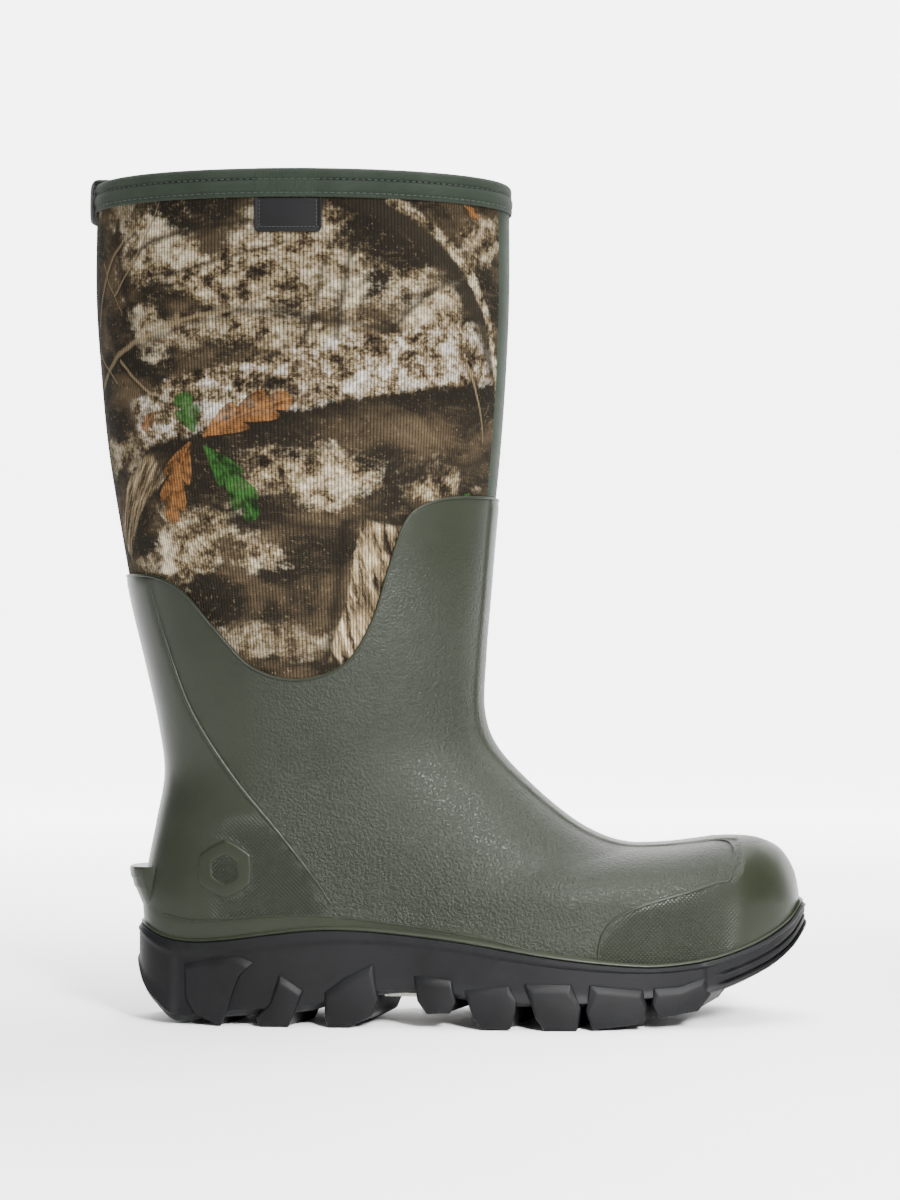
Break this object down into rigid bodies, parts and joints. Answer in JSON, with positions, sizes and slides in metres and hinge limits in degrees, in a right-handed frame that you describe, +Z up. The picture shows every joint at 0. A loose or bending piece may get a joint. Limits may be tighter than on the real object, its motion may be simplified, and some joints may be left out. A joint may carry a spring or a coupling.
{
  "type": "insulated hunting boot",
  "caption": "Tall pull-on insulated boot for the right foot: rubber foot with lugged outsole, cloth-faced neoprene shaft, taped collar, kick ledge and lift-out footbed.",
  "frame": {"origin": "on the ground, under the middle of the boot's bounding box", "axes": "+X to the toe, +Y to the inner (medial) side of the foot, +Z up"},
  "size_m": [0.332, 0.1082, 0.3872],
  "materials": {
    "black_rubber": "matte",
    "green_rubber": "satin",
    "midsole_foam": "matte",
    "steel": "brushed",
    "fibre_board": "matte",
    "neoprene": "matte",
    "footbed_foam": "matte",
    "lining_cloth": "woven",
    "printed_cloth": "printed knit",
    "green_tape": "woven",
    "webbing": "woven"
  },
  "bodies": {
    "boot": {"outsole": "black_rubber", "midsole": "midsole_foam", "shank": "steel", "rubber_upper": "green_rubber", "kick_tab": "green_rubber", "heel_counter": "fibre_board", "toe_puff": "fibre_board", "shaft_insulation": "neoprene", "foot_insulation": "neoprene", "shaft_lining": "lining_cloth", "foot_lining": "lining_cloth", "insole_board": "fibre_board", "outer_cloth_panel": "printed_cloth", "inner_cloth_panel": "printed_cloth", "front_seam_strip": "green_tape", "rear_seam_strip": "green_tape", "collar_binding": "green_tape", "collar_band": "green_tape", "label_patch": "black_rubber", "rear_pull_tab": "webbing"},
    "footbed": {"footbed": "footbed_foam", "footbed_cover": "lining_cloth"}
  },
  "joints": [
    {"name": "footbed_peel", "type": "hinge", "parent": "boot", "child": "footbed", "pos_m": [0.146, 0, 0.042], "axis": [0, 1, 0], "range_deg": [0, 10]}
  ]
}
